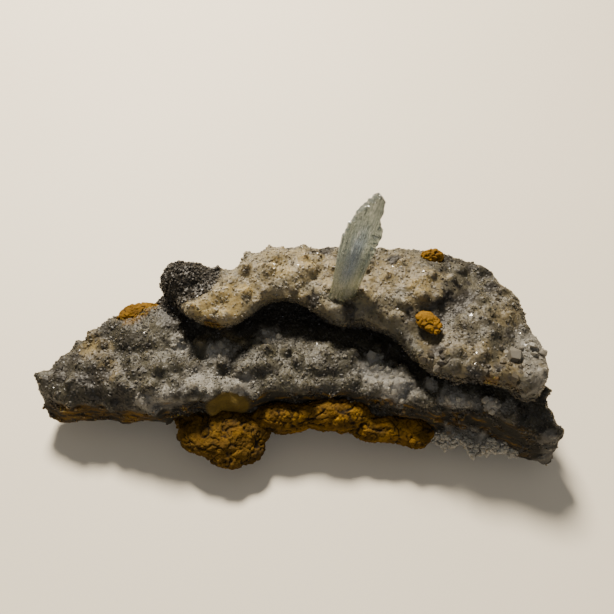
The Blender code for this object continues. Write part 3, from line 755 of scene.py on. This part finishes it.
# Earthy limonite, dried from rusty water: soft, with no gloss at all, ochre on its lumps, dustier and
# more orange where it dried most, and painted nearly black as shade in its cracks. Lumps of colour
# are about 2.4 mm wide and 0.9 mm thick. Its powder is far finer than a hair, so it is drawn as
# grains of 0.45 mm.
limonite, tree, shader = new_material("earthy limonite")
place = node(tree, "ShaderNodeTexCoord").outputs["Object"]
flow = node(tree, "ShaderNodeMapping", {"Scale": (1.0, 1.0, 2.6)}, Vector=place).outputs["Vector"]
blotches = node(
    tree, "ShaderNodeTexNoise", {"Scale": 0.42 / MM, "Detail": 5.0, "Roughness": 0.65}, Vector=flow,
)
ochre = node(
    tree, "ShaderNodeValToRGB", {"stops": ((0.30, "#2A1D03"), (0.5, "#584006"), (0.70, "#7B5B06"))},
    in0=blotches.outputs["Fac"],
)
# The darkest colour paints shade in the cracks and low places, and over the lump at the left.
mixed = stained(tree, ochre.outputs["Color"], {"dry": "#8E640B", "hollow": "#1A1104"})
tree.links.new(mixed, shader.inputs["Base Color"])
shader.inputs["Roughness"].default_value = 0.9
shader.inputs["Specular IOR Level"].default_value = 0.2
powder = node(tree, "ShaderNodeTexNoise", {"Scale": 2.2 / MM, "Detail": 3.0}, Vector=place)
bump = node(tree, "ShaderNodeBump", {"Strength": 0.9, "Distance": 0.3 * MM}, Height=powder.outputs["Fac"])
tree.links.new(bump.outputs["Normal"], shader.inputs["Normal"])

limonite_piece("limonite_crust", "ochre_crust", square_mm=0.17, swell=0.15, layering=0.13, dry=0.06)
limonite_piece(
    "limonite_grain_front", "ochre_grain_front", square_mm=0.13, swell=0.12, layering=0.05,
    flatten=0.7, back=0.45, dry=0.4,
)
limonite_piece("limonite_grain_back", "ochre_grain_back", square_mm=0.13, swell=0.05, layering=0.05)
limonite_piece(
    "limonite_grain_left", "ochre_grain_left", square_mm=0.13, swell=0.1, layering=0.05, dry=0.25,
)

# The barite: one crystal 20 mm long, made of many thin blades that grew side by side and fanned out. It
# is pale blue-grey, glassy and clouded, finely grooved along its length, with a ragged slanting top.
# Its root is sunk in the crust of the upper ledge, and its foot stands at FOOT in the shared frame.
FOOT = Vector((8.57, 6.21, 19.8))
# The other sizes are across and along the crystal itself, in mm.
ROOT_DEPTH = 1.6
BLADES = 30
TOP_LEFT, TOP_SPAN = -3.68, 6.4
ROOT_LEFT, ROOT_SPAN = -1.9, 4.0
BLADE_SQUARE = 0.085
# The height of the crystal's top edge, at places across it from left to right.
TOP_ACROSS = [-3.9, -3.75, -3.2, -2.8, -2.4, -1.35, -0.9, -0.1, 1.0, 1.1, 1.7, 2.45, 2.8, 3.0]
TOP_HEIGHT = [9.6, 11.6, 14.4, 15.8, 17.0, 18.5, 19.3, 20.3, 19.9, 18.2, 15.6, 14.7, 13.6, 10.5]
stance = (
    Matrix.Translation(FOOT * MM)
    @ Matrix.Rotation(math.radians(18), 4, "Y")
    @ Matrix.Rotation(math.radians(-21), 4, "X")
    @ Matrix.Rotation(math.radians(8), 4, "Z")
)
draw = np.random.default_rng(31)
bundle = bmesh.new()
for k in range(BLADES):
    share = k / (BLADES - 1)
    top = TOP_LEFT + TOP_SPAN * share
    root = ROOT_LEFT + ROOT_SPAN * share
    length = float(np.interp(top, TOP_ACROSS, TOP_HEIGHT)) * draw.uniform(0.965, 1.0)
    half_width = draw.uniform(0.26, 0.42)
    half_depth = (0.42 + 0.72 * (1 - (top / 4.0) ** 2)) * draw.uniform(0.86, 1.08)
    depth = draw.uniform(-0.16, 0.16)
    climb = 0.9 if top < -0.2 else -0.7
    blade = bmesh.ops.create_cone(bundle, cap_ends=True, segments=6, radius1=1.0, radius2=1.0, depth=2.0)
    for vertex in blade["verts"]:
        side, face = vertex.co.x, vertex.co.y
        if vertex.co.z > 0:
            level = length - 0.35 + climb * side * half_width
            vertex.co = Vector((top + side * half_width, depth + face * half_depth * 0.82, level))
        else:
            narrowed = root + side * half_width * 0.9
            vertex.co = Vector((narrowed, depth + face * half_depth * 0.95, -ROOT_DEPTH))
mesh = bpy.data.meshes.new("blade_bundle")
bundle.to_mesh(mesh)
bundle.free()
mesh.transform(Matrix.Scale(MM, 4))
loose = link_object("blade_bundle", mesh)
mesh = evened_out(loose, BLADE_SQUARE)
bpy.data.objects.remove(loose)
barite = link_object("blue_barite_crystal", mesh)

spots = points_mm(mesh)
x, z = spots[:, 0], spots[:, 2]
grooves = 0.012 * ripple(spots / (0.20, 0.20, 5.0), 1.0, 1.0)
ridges = 0.10 * ripple(spots / (0.62, 0.62, 9.0), 1.0, 5.0)
steps = np.round(1.4 * ripple(spots / (1.1, 1.1, 2.4), 1.0, 2.0)) / 1.4
ragged = fade(0.2, 1.4, x) * fade(7.5, 10.5, z)
knobbly = ripple(spots / (0.9, 0.9, 0.75), 1.0, 6.0)
push(mesh, grooves + ridges + 0.05 * steps + 0.22 * ragged * knobbly)

spots = points_mm(mesh)
x, z = spots[:, 0], spots[:, 2]
veins = ripple(spots / (0.5, 0.9, 5.0), 1.0, 17.0) + 0.4 * ripple(spots / (0.2, 0.4, 2.5), 1.0, 18.0)
store(mesh, {
    "core": fade(1.7, 0.3, np.abs(x + 0.9 - 0.02 * z)) * fade(0.5, 5, z) * fade(15.5, 10, z),
    "height": np.clip(z / 20.0, 0, 1),
    "vein": 0.7 * fade(0.34, 0.66, veins),
    "cleft": 0.7 * fade(-0.3, -0.7, veins),
})
mesh.transform(stance)

# Barite, its faces as they grew: glassy, with a clear highlight, and clouded inside, so the light goes
# through it and what stands behind shows only as tone. It is yellowish at the root, grey-green above
# and blue in its core, with white veins and dark clefts along the blades. Its clouds are about 1.5 mm.
crystal, tree, shader = new_material("clouded blue barite")
core = node(tree, "ShaderNodeAttribute", {"attribute_name": "core"}).outputs["Fac"]
height = node(tree, "ShaderNodeAttribute", {"attribute_name": "height"}).outputs["Fac"]
length_tone = node(
    tree, "ShaderNodeValToRGB", {"stops": ((0.0, "#D6D4AC"), (0.35, "#B3C0B8"), (1.0, "#969C94"))},
    in0=height,
)
blue = node(
    tree, "ShaderNodeMix", {"data_type": "RGBA", 7: linear("#9DAEC2")},
    in0=core, in6=length_tone.outputs["Color"],
)
place = node(tree, "ShaderNodeTexCoord").outputs["Object"]
cloud = node(tree, "ShaderNodeTexNoise", {"Scale": 0.65 / MM, "Detail": 4.0}, Vector=place)
veil = node(
    tree, "ShaderNodeMix", {"data_type": "RGBA", "blend_type": "MULTIPLY", 7: linear("#C2C2BA")},
    in0=cloud.outputs["Fac"], in6=blue.outputs[2],
)
veined = stained(tree, veil.outputs[2], {"vein": "#DDDFD2", "cleft": "#6C776E"})
tree.links.new(veined, shader.inputs["Base Color"])
shader.inputs["IOR"].default_value = 1.636
shader.inputs["Roughness"].default_value = 0.1
shader.inputs["Transmission Weight"].default_value = 0.68
barite.data.materials.append(crystal)
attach(barite, "root")
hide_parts("barite_crystal")
